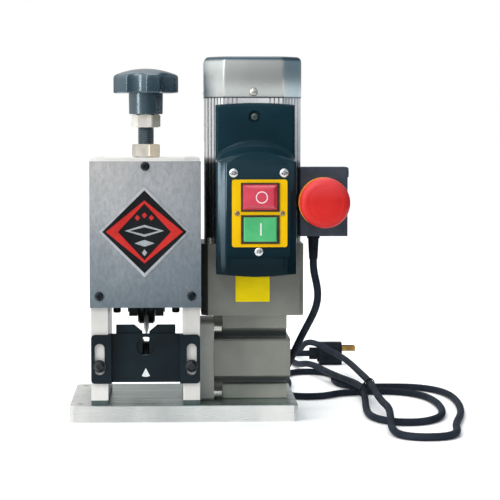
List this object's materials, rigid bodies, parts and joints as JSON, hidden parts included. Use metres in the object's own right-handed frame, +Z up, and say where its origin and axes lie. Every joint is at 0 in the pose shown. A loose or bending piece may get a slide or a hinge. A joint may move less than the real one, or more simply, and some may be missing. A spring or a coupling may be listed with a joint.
{
  "type": "electric wire stripper",
  "caption": "Motor-driven bench wire stripper: guide plate, round blade over a toothed feed roller, pressure knob, right-angle gearbox, switch box and tied mains lead.",
  "frame": {"origin": "centre of the base plate's underside", "axes": "+Z up, +X to the operator's right, towards the motor, +Y away from the operator"},
  "size_m": [0.4112, 0.7352, 0.3685],
  "materials": {
    "base_aluminium": "milled, satin",
    "frame_aluminium": "milled, satin",
    "brushed_cover": "brushed along its height",
    "dark_strip": "matte",
    "black_screws": "black oxide",
    "badge": "glossy",
    "dark_steel": "satin",
    "bright_steel": "satin",
    "grey_paint": "satin enamel",
    "motor_aluminium": "cast, satin",
    "copper_stator": "varnished",
    "black_anodised": "satin",
    "teal_black_enamel": "glossy",
    "yellow_plastic": "glossy",
    "yellow_label": "matte",
    "black_plastic": "satin",
    "grey_plastic": "fine texture",
    "knob_plastic": "satin",
    "red_button": "glossy",
    "green_button": "glossy",
    "red_mushroom": "glossy",
    "cord_rubber": "satin",
    "brass_pins": "polished"
  },
  "bodies": {
    "frame": {"base_plate": "base_aluminium", "frame_screws": "black_screws", "foot_strips": "dark_strip", "left_side_plate": "frame_aluminium", "right_side_plate": "frame_aluminium", "top_plate": "frame_aluminium", "front_cover": "brushed_cover", "rear_cover": "brushed_cover", "cover_screws": "black_screws", "badge": "badge", "guide_rods": "dark_steel", "rod_nuts": "bright_steel", "return_springs": "bright_steel", "bearings": "bright_steel", "guide_screws": "black_screws", "gearbox_flange": "grey_paint", "flange_bolts": "bright_steel", "right_angle_gearbox": "grey_paint", "gearhead": "grey_paint", "lower_flange": "grey_paint", "motor_bolts": "bright_steel", "motor_body": "motor_aluminium", "stator": "copper_stator", "motor_cap": "motor_aluminium", "cap_screws": "bright_steel", "switch_box": "teal_black_enamel", "switch_panel": "teal_black_enamel", "panel_screws": "bright_steel", "switch_plate": "yellow_plastic", "switch_body": "black_plastic", "estop_box": "grey_plastic", "estop_collar": "yellow_plastic", "box_nipple": "black_plastic", "side_boss": "teal_black_enamel", "cord_gland": "black_plastic", "plain_label": "yellow_label", "cord": "cord_rubber", "cord_tie": "black_plastic", "plug_body": "black_plastic", "plug_pins": "brass_pins"},
    "carriage": {"blade_carriage": "dark_steel", "screw_keeper": "bright_steel", "blade_axle": "bright_steel"},
    "blade": {"round_blade": "bright_steel", "blade_collars": "bright_steel"},
    "screw": {"pressure_screw": "dark_steel", "knob_nut": "bright_steel", "knob": "knob_plastic"},
    "lock_nut": {"lock_nut": "bright_steel"},
    "feed": {"feed_shaft": "bright_steel", "feed_roller": "dark_steel"},
    "rotor": {"motor_shaft": "bright_steel", "rotor_core": "dark_steel", "cooling_fan": "black_plastic"},
    "guide": {"wire_guide": "black_anodised", "guide_block": "black_anodised"},
    "stop_button": {"stop_button": "red_button"},
    "start_button": {"start_button": "green_button"},
    "estop_stem": {"estop_stem": "dark_steel"},
    "estop_head": {"estop_head": "red_mushroom"}
  },
  "joints": [
    {"name": "carriage_slide", "type": "slide", "parent": "frame", "child": "carriage", "axis": [0, 0, 1], "range_m": [-0.004, 0.01], "deforming": ["return_springs"]},
    {"name": "knob_turn", "type": "hinge", "parent": "carriage", "child": "screw", "pos_m": [-0.0385, -0.01, 0.31], "axis": [0, 0, 1], "range_deg": [-720, 1800]},
    {"name": "blade_spin", "type": "hinge", "parent": "carriage", "child": "blade", "pos_m": [-0.0385, -0.01, 0.1105], "axis": [1, 0, 0], "continuous": true},
    {"name": "lock_nut_turn", "type": "hinge", "parent": "frame", "child": "lock_nut", "pos_m": [-0.0385, -0.01, 0.272], "axis": [0, 0, 1], "range_deg": [-180, 180]},
    {"name": "feed_shaft_spin", "type": "hinge", "parent": "frame", "child": "feed", "pos_m": [0, -0.01, 0.057], "axis": [1, 0, 0], "continuous": true},
    {"name": "rotor_spin", "type": "hinge", "parent": "frame", "child": "rotor", "pos_m": [0.071, -0.01, 0.25], "axis": [0, 0, 1], "continuous": true},
    {"name": "guide_slide", "type": "slide", "parent": "frame", "child": "guide", "axis": [0, 0, 1], "range_m": [-0.017, 0.0045]},
    {"name": "stop_button_push", "type": "slide", "parent": "frame", "child": "stop_button", "axis": [0, 1, 0], "range_m": [0, 0.003], "stiffness_N_per_m": 400},
    {"name": "start_button_push", "type": "slide", "parent": "frame", "child": "start_button", "axis": [0, 1, 0], "range_m": [0, 0.003], "stiffness_N_per_m": 400},
    {"name": "estop_push", "type": "slide", "parent": "frame", "child": "estop_stem", "axis": [0, 1, 0], "range_m": [0, 0.005]},
    {"name": "estop_twist", "type": "hinge", "parent": "estop_stem", "child": "estop_head", "pos_m": [0.13955, -0.11, 0.2216], "axis": [0, -1, 0], "range_deg": [-45, 0]}
  ],
  "couplings": [
    {"joint": "knob_turn", "follows": "carriage_slide", "rad_per_m": 3141.6},
    {"joint": "rotor_spin", "follows": "feed_shaft_spin", "ratio": 22.5}
  ]
}
